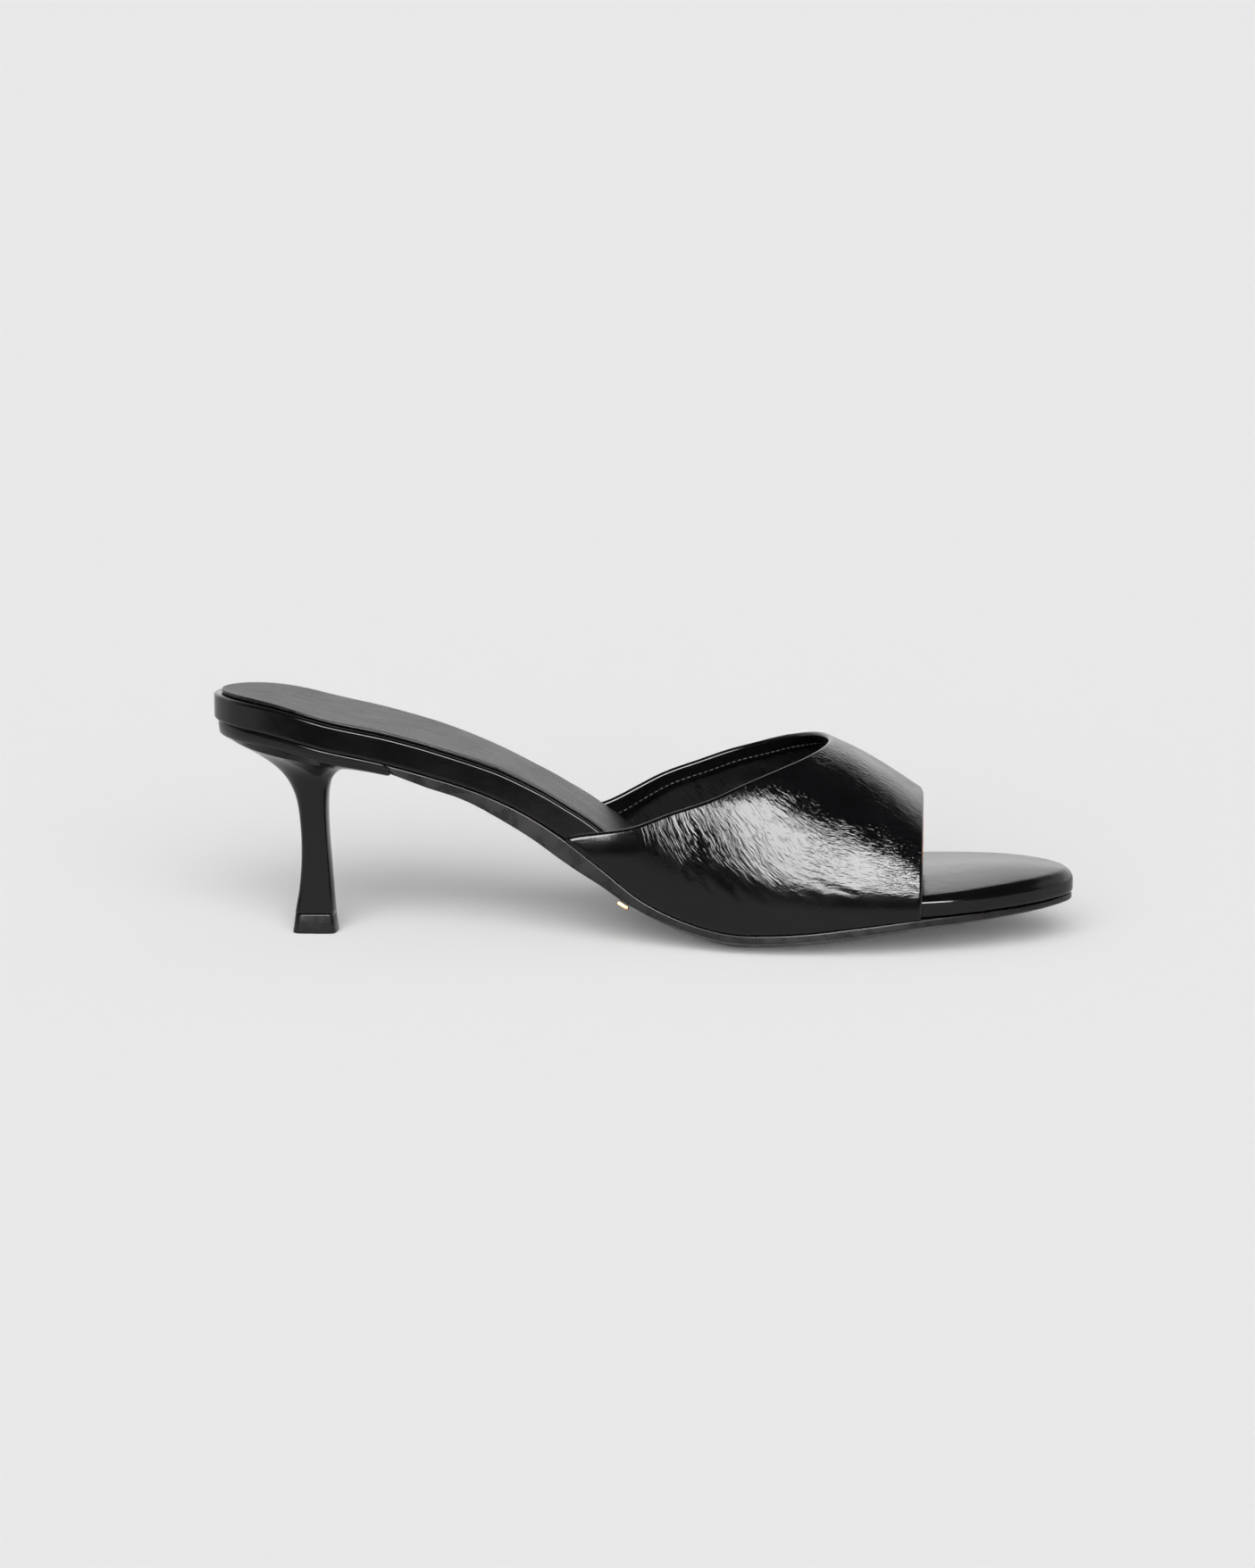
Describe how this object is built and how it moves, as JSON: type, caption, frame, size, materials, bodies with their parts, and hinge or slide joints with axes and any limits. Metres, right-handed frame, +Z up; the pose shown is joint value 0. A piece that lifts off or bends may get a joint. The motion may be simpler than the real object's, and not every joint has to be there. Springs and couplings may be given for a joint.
{
  "type": "heeled mule shoe",
  "caption": "Backless open-toe mule with one broad leather vamp, a padded foot bed on a thin leather-wrapped board and a slim flared heel.",
  "frame": {"origin": "on the floor, under the middle of the shoe's length and width", "axes": "+X from the heel to the toe, +Y to the outer side of the foot, +Z up"},
  "size_m": [0.24, 0.0778, 0.069],
  "materials": {
    "platform_leather": "high gloss",
    "sock_leather": "matte grained",
    "sole_leather": "satin",
    "upper_leather": "creased high gloss",
    "heel_cover": "satin gloss",
    "tip_rubber": "matte",
    "gilt": "polished"
  },
  "bodies": {
    "root": {"platform": "platform_leather", "sock": "sock_leather", "outsole": "sole_leather", "upper": "upper_leather", "heel": "heel_cover", "top_piece": "tip_rubber", "sole_plate": "gilt"}
  },
  "joints": []
}
